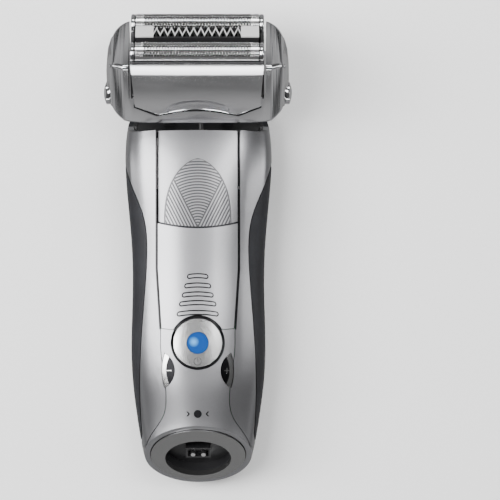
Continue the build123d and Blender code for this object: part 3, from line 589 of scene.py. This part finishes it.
def throughPoints(points, steps=8):
    # a smooth line through the given points
    ends = [points[0]] + list(points) + [points[-1]]
    line = []
    for i in range(1, len(ends) - 2):
        a, b, c, d = (Vector(ends[i + k]) for k in (-1, 0, 1, 2))
        for step in range(steps):
            t = step / steps
            line.append(tuple(0.5 * (2 * b + (c - a) * t + (2 * a - 5 * b + 4 * c - d) * t ** 2
                                     + (3 * b - a - 3 * c + d) * t ** 3)))
    return line + [tuple(points[-1])]


def bothSides(right):
    # closes a right-hand outline with its mirror image
    left = [(-x, y) for x, y in reversed(right) if x > 0.001]
    return right + left


# head shell: lip, arms and the window for the front skirt

headSet = {
    "half": 31.5, "front": 13.4, "back": 13.0, "drop": 5.0, "armTop": 21.5, "armInner": 23.6,
    "floor": 7.0, "edgeRoll": 1.3, "frontRoll": 0.9, "steps": 5, "cornerX": 25.75,
    "boreY": -3.6, "boreZ": 0.9, "boreRadius": 4.1, "hollowX": 27.0,
    "hollow": ((-2.6, -8.6, -3.2), (2.6, 3.4, 14.0)),
    "rooms": (((-23.6, 12.3, 3.0), (23.6, 16, 40)),      # opening at the back
              ((-21, -9.6, -2.8), (21, 9.6, 8)),         # the drive
              ((-12.6, -9.6, -12), (12.6, 9.6, 0)))}     # the neck
windowSet = {"side": 23.0, "foot": -0.7, "top": 22.5, "archHalf": 14.2, "archRise": 2.3,
             "shoulder": 3.1, "taper": 1.4, "steps": 12, "gap": 0.35, "back": -12.3}


def windowPoints():
    gap, half, rise = windowSet["gap"], windowSet["archHalf"], windowSet["archRise"]
    side, foot, top = windowSet["side"] + gap, windowSet["foot"] - gap, windowSet["top"] + gap
    share = [i / windowSet["steps"] for i in range(1, windowSet["steps"])]
    arch = [(half - half * t, foot + rise * math.sin(t * math.pi / 2) ** 1.1) for t in share]
    shoulder = (side - windowSet["taper"], windowSet["shoulder"] - gap)
    return [(0, top), (side, top), shoulder, (half, foot)] + arch + [(0, foot + rise)]


def headPlan():
    # seen from above: a nearly flat front, round arms and a straight back
    half, front, back = headSet["half"], headSet["front"], headSet["back"]
    sweep = [(25.9, -front + 0.5), (half - 1.6, -9.6), (half, -3.5), (half - 1.2, 3.5), (27, 9.4),
             (20.5, back - 0.1)]
    return ([(0, -front - 0.05), (13, -front), (25.6, -front + 0.3)] + throughPoints(sweep)
            + [(0, back)])


def headFace():
    # seen from the front: rounded shoulders, and sides that sweep in to the foot
    half, drop, top = headSet["half"], headSet["drop"], headSet["armTop"]
    shoulder = throughPoints([(25, top), (28.8, 20.3), (half - 0.6, 17)], 5)[1:-1]
    side = throughPoints([(half - 0.6, 17), (half, 11), (half - 0.3, 4), (half - 2.6, -1.6),
                          (24.8, -4.3), (20, -drop)])
    return [(0, top), (25, top)] + shoulder + side + [(0, -drop)]


def isSkinEdge(edge):
    # an edge of the outer skin, away from the arms' hollows and the button bores
    middle = (edge.verts[0].co + edge.verts[1].co) / 2 / mm
    low, high = (Vector(corner) for corner in headSet["hollow"])
    inHollow = (abs(abs(middle.x) - headSet["hollowX"]) < high.x + 0.3
                and low.y - 0.3 < middle.y < high.y + 0.3
                and low.z - 0.3 < middle.z < high.z + 0.3)
    fromBore = math.hypot(middle.y - headSet["boreY"], middle.z - headSet["boreZ"])
    atBore = fromBore < headSet["boreRadius"] + 0.5 and abs(middle.x) > 24
    return not inHollow and not atBore


def isSharp(edge):
    return len(edge.link_faces) == 2 and edge.calc_face_angle(0) > math.radians(40)


def isFrontCorner(edge):
    first, second = (vert.co for vert in edge.verts)
    return (abs(abs(first.x) / mm - headSet["cornerX"]) < 0.4 and edge.calc_face_angle(0) > 0.2
            and abs(first.z - second.z) > 4 * mm)


def makeHeadShell():
    shell = outlinePiece(bothSides(headPlan()), -20, 40)
    carve(shell, outlinePiece(bothSides(headFace()), -30, 30, True), "INTERSECT")
    low, high = (Vector(corner) for corner in headSet["hollow"])
    for end in (-1, 1):
        bore = (end * headSet["half"], headSet["boreY"], headSet["boreZ"])
        carve(shell, rodPiece(headSet["boreRadius"], 6, bore))
        across = Vector((end * headSet["hollowX"], 0, 0))
        carve(shell, boxPiece(across + low, across + high))
    editMode(shell)
    pick(shell, "EDGE", lambda edge: isSharp(edge) and isSkinEdge(edge))
    bpy.ops.mesh.bevel(offset=headSet["edgeRoll"] * mm, segments=headSet["steps"],
                       clamp_overlap=False)
    pick(shell, "EDGE", isFrontCorner)
    bpy.ops.mesh.bevel(offset=headSet["frontRoll"] * mm, segments=4, clamp_overlap=False)
    bpy.ops.object.mode_set(mode="OBJECT")
    inner = headSet["armInner"]
    carve(shell, boxPiece((-inner, -30, headSet["floor"]), (inner, 30, 40)))
    window = outlinePiece(bothSides(windowPoints()), -headSet["front"] - 3, windowSet["back"], True)
    carve(shell, window)
    for lowCorner, highCorner in headSet["rooms"]:
        carve(shell, boxPiece(lowCorner, highCorner))
    settle(shell, "headShell", looks["chrome"], "head", ("head_frame",), 38, headPlace)


makeHeadShell()
print("head shell made")

# front skirt: a thin plate, rolled back at its top, with a thumb notch low in the middle

skirtSet = {"back": 12.4, "thick": 0.7, "side": 22.85, "foot": -0.55, "top": 22.35,
            "archHalf": 14.2, "archRise": 2.2, "cornerRise": 3.7, "shoulder": 3.1, "taper": 1.35,
            "bandFrom": 17.6, "bandLean": 0.55, "bandCurl": 0.12, "crown": 0.15, "belly": 0.32,
            "notchHalf": 10.6, "notchLow": 1.5, "notchHigh": 6.3, "notchDeep": 0.42,
            "notchSlope": 1.1, "sheet": 0.25, "across": 96, "rows": 72}


def skirtFoot(reach):
    # the lower edge: an arch in the middle, rising to the corners beside it
    half = skirtSet["archHalf"]
    if reach < half:
        arch = math.sin((1 - reach / half) * math.pi / 2) ** 1.1
        return skirtSet["foot"] + skirtSet["archRise"] * arch
    return skirtSet["foot"] + skirtSet["cornerRise"] * (reach - half) / (skirtSet["side"] - half)


def notchDepth(x, z):
    across = (x / skirtSet["notchHalf"]) ** 2
    if across >= 1:
        return 0
    rise = skirtSet["notchHigh"] - skirtSet["notchLow"]
    inside = (skirtSet["notchLow"] + rise * math.sqrt(1 - across) - z) / skirtSet["notchSlope"]
    if inside <= 0:
        return 0
    return skirtSet["notchDeep"] * min(inside, 1) ** 0.8 * (1 - across) ** 0.5


def skirtPoint(u, v):
    # u from -1 to 1 across, v from 0 at the foot to 1 at the top
    top, band = skirtSet["top"], skirtSet["bandFrom"]
    reach = abs(u) * skirtSet["side"]
    foot = skirtFoot(reach)
    z = foot + (top - foot) * v
    narrow = min(max((top - z) / (top - skirtSet["shoulder"]), 0), 1) * abs(u)
    x = math.copysign(max(reach - skirtSet["taper"] * narrow, 0), u)
    rise = max((z - band) / (top - band), 0)
    back = skirtSet["bandLean"] * rise + skirtSet["bandCurl"] * rise ** 4
    back += skirtSet["crown"] * (x / skirtSet["side"]) ** 2
    if z < band:
        back -= skirtSet["belly"] * math.sin(math.pi * max(z + 0.5, 0) / (band + 0.5))
    y = back + notchDepth(x, z) - skirtSet["back"] - skirtSet["thick"]
    return x * mm, y * mm, z * mm


def makeFrontSkirt():
    clearSelection()
    bpy.ops.mesh.primitive_grid_add(x_subdivisions=skirtSet["across"],
                                    y_subdivisions=skirtSet["rows"], size=2)
    skirt = bpy.context.object
    for point in skirt.data.vertices:
        point.co = skirtPoint(point.co.x, (point.co.y + 1) / 2)
    editMode(skirt)
    bpy.ops.mesh.select_all(action="SELECT")
    bpy.ops.mesh.normals_make_consistent(inside=False)
    mesh = bmesh.from_edit_mesh(skirt.data)
    mesh.faces.ensure_lookup_table()
    if mesh.faces[0].normal.y > 0:
        bpy.ops.mesh.flip_normals()
    bpy.ops.object.mode_set(mode="OBJECT")
    modify(skirt, "SOLIDIFY", thickness=skirtSet["sheet"] * mm, offset=-1)
    settle(skirt, "frontSkirt", looks["chrome"], "cassette", ("front_skirt",), 35,
           headPlace)


makeFrontSkirt()
print("front skirt made")

# foils: a perforated sheet bent over each cutter, with plain ends and legs

foilSet = {"radius": 4.0, "rail": 22.4, "spacing": 7.4, "length": 42.3, "pitch": 1.0, "hole": 0.41,
           "columns": 38, "rowPairs": 6, "legs": 4.7, "thick": 0.1, "lap": 0.4, "lapDrop": 0.015,
           "folds": (-54, 54), "crownFold": -6}


def makePerforatedSheet():
    # one hexagon with a round hole, repeated into a honeycomb that lies flat
    pitch, rise = foilSet["pitch"] * mm, foilSet["pitch"] * mm * math.sqrt(3) / 2
    clearSelection()
    bpy.ops.mesh.primitive_circle_add(vertices=6, radius=pitch / math.sqrt(3), fill_type="NOTHING")
    sheet = bpy.context.object
    editMode(sheet)
    bpy.ops.mesh.select_all(action="SELECT")
    bpy.ops.mesh.subdivide(number_cuts=1)
    bpy.ops.mesh.select_all(action="DESELECT")
    bpy.ops.mesh.primitive_circle_add(vertices=12, radius=foilSet["hole"] * mm, fill_type="NOTHING")
    bpy.ops.mesh.select_all(action="SELECT")
    bpy.ops.mesh.bridge_edge_loops()
    bpy.ops.object.mode_set(mode="OBJECT")
    modify(sheet, "ARRAY", count=2, use_relative_offset=False, use_constant_offset=True,
           constant_offset_displace=(pitch / 2, rise, 0))
    repeats = ((foilSet["columns"], (pitch, 0, 0)), (foilSet["rowPairs"], (0, 2 * rise, 0)))
    for count, step in repeats:
        modify(sheet, "ARRAY", count=count, use_relative_offset=False, use_constant_offset=True,
               constant_offset_displace=step, use_merge_vertices=True, merge_threshold=0.00002)
    editMode(sheet)
    bpy.ops.mesh.select_all(action="SELECT")
    bpy.ops.mesh.remove_doubles(threshold=0.00003)
    bpy.ops.mesh.normals_make_consistent(inside=False)
    bpy.ops.object.mode_set(mode="OBJECT")
    wide = pitch * (foilSet["columns"] - 0.5)
    tall = rise * (2 * foilSet["rowPairs"] - 1)
    sheet.location = (-wide / 2, -tall / 2, 0)
    clearSelection()
    sheet.select_set(True)
    bpy.ops.object.transform_apply(location=True, rotation=True, scale=True)
    return sheet, wide / 2, tall / 2


def plainStrip(lowX, highX, lowV, highV, cutsX, cutsV):
    # a plain part of the sheet, a little under the perforated one where they lap
    clearSelection()
    bpy.ops.mesh.primitive_grid_add(x_subdivisions=cutsX, y_subdivisions=cutsV, size=2)
    strip = bpy.context.object
    for point in strip.data.vertices:
        point.co = (lowX + (highX - lowX) * (point.co.x + 1) / 2,
                    lowV + (highV - lowV) * (point.co.y + 1) / 2, -foilSet["lapDrop"] * mm)
    return strip


def bendOverRail(sheet):
    radius, rail = foilSet["radius"] * mm - 0.00001, foilSet["rail"] * mm
    quarter = radius * math.pi / 2
    for point in sheet.data.vertices:
        x, v, lift = point.co
        if abs(v) <= quarter:
            angle = v / radius
            point.co = (x, (radius + lift) * math.sin(angle),
                        rail + (radius + lift) * math.cos(angle))
        else:
            point.co = (x, math.copysign(radius + lift, v), rail - (abs(v) - quarter))


def foilLook(name, row):
    # polished foil; painted shade: a dark fold line along each side of its crown, and one on the crown
    finish = Finish(name, Metallic=1.0)
    where = finish.place(tuple(pivot))
    rear = (finish.along(where, headRear) - row * mm) * 1000
    out = (finish.along(where, headOut) - foilSet["rail"] * mm) * 1000
    angle = rear.calc("ARCTAN2", out) * (180 / math.pi)
    lines = finish.noise(finish.place(scale=(30, 1, 1)), 500, 3)
    foldShade = 1 - finish.smooth(abs(angle - foilSet["crownFold"]), 2.0, 3.4)
    for place in foilSet["folds"]:
        foldShade = foldShade.calc("MAXIMUM", 1 - finish.smooth(abs(angle - place), 2.0, 3.4))
    steel = finish.ramp(lines, (0.35, grey(0.84)), (0.65, grey(0.94)))
    finish.set(Base_Color=finish.blend(foldShade * 0.9, steel, (0.02, 0.02, 0.022, 1)),
               Roughness=0.2 + (lines - 0.5) * 0.1 + foldShade * 0.3)
    finish.bump(lines * 0.2 - foldShade, 0.00006, 0.4)
    return finish.data


def makeFoils():
    sheet, halfWide, halfTall = makePerforatedSheet()
    end, lap = foilSet["length"] / 2 * mm, foilSet["lap"] * mm
    leg = foilSet["radius"] * mm * math.pi / 2 + foilSet["legs"] * mm
    inX, inV = halfWide - lap, halfTall - lap
    strips = [plainStrip(-end, -inX, -leg, leg, 2, 48), plainStrip(inX, end, -leg, leg, 2, 48),
              plainStrip(-inX, inX, -leg, -inV, 2, 12), plainStrip(-inX, inX, inV, leg, 2, 12)]
    joinAll([sheet] + strips)
    bendOverRail(sheet)

    def facesIn(face):
        middle = face.calc_center_median()
        return face.normal.y * middle.y + face.normal.z * (middle.z - 0.018) < 0

    editMode(sheet)
    pick(sheet, "FACE", facesIn)
    bpy.ops.mesh.flip_normals()
    bpy.ops.object.mode_set(mode="OBJECT")
    modify(sheet, "SOLIDIFY", thickness=foilSet["thick"] * mm, offset=-1)
    for name, side in (("foil_front", -1), ("foil_rear", 1)):
        row = side * foilSet["spacing"]
        foil = placedCopy(sheet, (0, row * mm, 0))
        look = foilLook(name + "SheetSteel", row)
        settle(foil, name + "Sheet", look, name.replace("foil_", "foil_unit_"), (name,), 30,
               headPlace)
    bpy.data.objects.remove(sheet)


makeFoils()
print("foils made")

# end arches: the bright caps at both ends of each foil, their edges rolled

archSet = {"radius": 3.9, "thick": 1.65, "outer": 22.9, "cutAt": 22.5, "roll": 0.7}


def makeEndArches():
    arch = rodPiece(archSet["radius"], archSet["thick"], (0, 0, foilSet["rail"]), 64)
    editMode(arch)
    bpy.ops.mesh.select_all(action="SELECT")
    bpy.ops.mesh.bisect(plane_co=(0, 0, archSet["cutAt"] * mm), plane_no=(0, 0, 1),
                        clear_inner=True, use_fill=True)
    aboveCut = (2 * archSet["cutAt"] + 0.1) * mm
    pick(arch, "EDGE", lambda edge: edge.calc_face_angle(0) > 1.2
         and edge.verts[0].co.z + edge.verts[1].co.z > aboveCut)
    bpy.ops.mesh.bevel(offset=archSet["roll"] * mm, segments=4, clamp_overlap=True)
    bpy.ops.object.mode_set(mode="OBJECT")
    across, along = archSet["outer"] - archSet["thick"] / 2, foilSet["spacing"]
    arches = [placedCopy(arch, (end * across * mm, row * along * mm, 0))
              for end in (-1, 1) for row in (-1, 1)]
    bpy.data.objects.remove(arch)
    settle(joinAll(arches), "endArches", looks["chrome"], "cassette", ("end_caps",), 40,
           headPlace)


makeEndArches()
print("end arches made")

# coil springs, upright under the foils and lying behind the release buttons

springSet = {"wire": 0.3, "wireGrow": 0.03, "sides": 8, "steps": 14}
uprightSprings = {"low": 8.8, "high": 16.7, "turns": 7, "foilX": 15.0, "foilRadius": 1.7,
                  "middleX": 18.3, "middleRadius": 1.4}
releaseSprings = {"low": 24.9, "high": 26.9, "turns": 3, "radius": 2.1}


def makeCoil(radius, low, high, turns):
    clearSelection()
    bpy.ops.mesh.primitive_circle_add(
        vertices=springSet["sides"], radius=(springSet["wire"] / 2 + springSet["wireGrow"]) * mm,
        fill_type="NOTHING", location=(radius * mm, 0, 0), rotation=(math.pi / 2, 0, 0))
    coil = bpy.context.object
    bpy.ops.object.transform_apply(location=True, rotation=True, scale=True)
    pitch = (high - low - springSet["wire"]) / turns * mm
    modify(coil, "SCREW", angle=2 * math.pi, screw_offset=pitch, iterations=turns,
           steps=springSet["steps"], render_steps=springSet["steps"], axis="Z")
    return coil


def finishSprings(name, coil, placesAndTurns, body):
    spring = joinAll([placedCopy(coil, place, turn) for place, turn in placesAndTurns])
    bpy.data.objects.remove(coil)
    editMode(spring)
    bpy.ops.mesh.select_all(action="SELECT")
    bpy.ops.mesh.edge_face_add()
    bpy.ops.mesh.normals_make_consistent(inside=False)
    bpy.ops.object.mode_set(mode="OBJECT")
    settle(spring, name + "Coils", looks["steel"], body, (name,), 60, headPlace)


def makeUprightPair(name, row, radius, x):
    low, high, turns = (uprightSprings[key] for key in ("low", "high", "turns"))
    foot = (low + springSet["wire"] / 2) * mm
    places = [((end * x * mm, row * mm, foot), (0, 0, 0)) for end in (-1, 1)]
    finishSprings(name, makeCoil(radius, low, high, turns), places, "cassette")


def makeReleaseSpring(name, end):
    low, high, turns = (releaseSprings[key] for key in ("low", "high", "turns"))
    place = (end * low * mm, headSet["boreY"] * mm, headSet["boreZ"] * mm)
    coil = makeCoil(releaseSprings["radius"], low, high, turns)
    finishSprings(name, coil, [(place, (0, end * math.pi / 2, 0))], "head")


for name, side in (("foil_springs_front", -1), ("foil_springs_rear", 1)):
    makeUprightPair(name, side * foilSet["spacing"], uprightSprings["foilRadius"],
                    uprightSprings["foilX"])
makeUprightPair("middle_springs", 0, uprightSprings["middleRadius"], uprightSprings["middleX"])
makeReleaseSpring("release_spring_left", -1)
makeReleaseSpring("release_spring_right", 1)
print("springs made")

# floor, light and camera

stageSet = {"floorSize": 3.0, "floorShade": 0.93, "viewWidth": 177.15, "viewX": 18.07, "viewY": 0.0,
            "distance": 1.2}
studioStops = ((0.0, 0.35), (0.2, 0.55), (0.33, 0.06), (0.43, 0.62), (0.5, 0.44), (0.56, 0.16),
               (0.75, 0.1), (1.0, 0.1))                  # how far up, how bright
lightSet = {                                             # size, place, power
    "keyLeft": ((0.5, 1.1), (-0.7, 0.15, 0.95), 26),
    "topRight": ((0.25, 0.8), (0.45, 0.3, 1.25), 9),
    "rimRight": ((0.1, 0.9), (0.8, 0.05, 0.25), 2.0),
    "rimLeft": ((0.1, 0.9), (-0.8, 0.05, 0.2), 1.5),
    "footCard": ((0.9, 0.1), (0.0, -0.8, 0.34), 2.2),
    "headCard": ((0.7, 0.2), (0.0, 0.8, 0.6), 5)}


def makeStage():
    clearSelection()
    bpy.ops.mesh.primitive_plane_add(size=stageSet["floorSize"], location=(0, 0, cadBox[0].z))
    floor = bpy.context.object
    floor.name = "paleFloor"
    paper = Finish("palePaper", Roughness=0.9)
    tone = paper.noise(paper.place(), 900, 4)
    shade = stageSet["floorShade"]
    paper.set(Base_Color=paper.ramp(tone, (0.3, grey(shade)), (0.7, grey(shade * 1.03))))
    floor.data.materials.append(paper.data)
    floor.visible_glossy = False                     # polished metal mirrors the studio instead


def makeStudio():
    # what the metal mirrors, from straight below to straight above
    world = bpy.context.scene.world or bpy.data.worlds.new("studio")
    bpy.context.scene.world = world
    world.use_nodes = True
    tree = world.node_tree
    where = tree.nodes.new("ShaderNodeTexCoord")
    split = tree.nodes.new("ShaderNodeSeparateXYZ")
    spread = tree.nodes.new("ShaderNodeMapRange")
    ramp = tree.nodes.new("ShaderNodeValToRGB")
    spread.inputs["From Min"].default_value = -1
    while len(ramp.color_ramp.elements) < len(studioStops):
        ramp.color_ramp.elements.new(0.5)
    for element, (place, shade) in zip(ramp.color_ramp.elements, studioStops):
        element.position = place
        element.color = grey(shade)
    tree.links.new(where.outputs["Generated"], split.inputs[0])
    tree.links.new(split.outputs[2], spread.inputs["Value"])
    tree.links.new(spread.outputs[0], ramp.inputs[0])
    back = tree.nodes["Background"]
    tree.links.new(ramp.outputs[0], back.inputs["Color"])
    back.inputs["Strength"].default_value = 1.0


def softbox(name, size, place, aim, power):
    light = bpy.data.lights.new(name, "AREA")
    light.shape = "RECTANGLE"
    light.size, light.size_y = size
    light.energy = power
    lamp = bpy.data.objects.new(name, light)
    lamp.location = place
    lamp.rotation_mode = "QUATERNION"
    lamp.rotation_quaternion = (Vector(aim) - Vector(place)).to_track_quat("-Z", "Y")
    bpy.context.scene.collection.objects.link(lamp)


def makeLight():
    for name, (size, place, power) in lightSet.items():
        softbox(name, size, place, (0, 0, 0.02), power)


def makeCamera():
    data = bpy.data.cameras.new("camera")
    camera = bpy.data.objects.new("camera", data)
    bpy.context.scene.collection.objects.link(camera)
    bpy.context.scene.camera = camera
    data.sensor_width = 36
    data.lens = data.sensor_width * stageSet["distance"] / (stageSet["viewWidth"] * mm)
    camera.location = (stageSet["viewX"] * mm, stageSet["viewY"] * mm, stageSet["distance"])
    data.clip_end = 20


makeStage()
makeStudio()
makeLight()
makeCamera()
print("stage ready")
